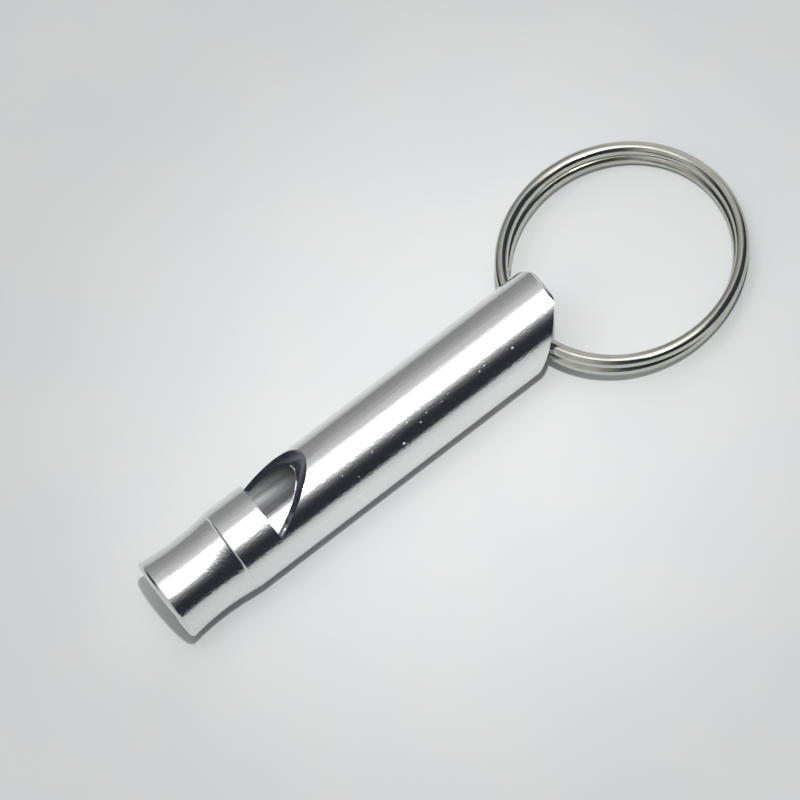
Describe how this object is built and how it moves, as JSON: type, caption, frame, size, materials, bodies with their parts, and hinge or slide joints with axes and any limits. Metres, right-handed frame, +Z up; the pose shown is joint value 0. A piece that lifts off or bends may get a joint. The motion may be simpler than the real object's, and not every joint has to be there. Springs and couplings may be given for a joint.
{
  "type": "training whistle",
  "caption": "Slim metal training whistle: a turned tube with a D-shaped sound window and a slanted open end that carries a two-coil split ring.",
  "frame": {"origin": "on the table, below the middle of the whole object's box", "axes": "+X along the tube from the mouth to the ring, +Z up with the whistle lying on a table"},
  "size_m": [0.0756, 0.0276, 0.01],
  "materials": {
    "tube_metal": "satin turned metal with fine lengthwise scratches",
    "plug_metal": "plain turned metal",
    "ring_nickel": "bright nickel plate with light wear"
  },
  "bodies": {
    "whistle": {"whistle_tube": "tube_metal", "fipple_plug": "plug_metal", "end_stopper": "plug_metal"},
    "ring": {"split_ring": "ring_nickel"}
  },
  "joints": [
    {"name": "ring_swing", "type": "hinge", "parent": "whistle", "child": "ring", "pos_m": [0.01206, 0.00411, 0.0053], "axis": [0, -1, 0], "range_deg": [0, 110]}
  ]
}
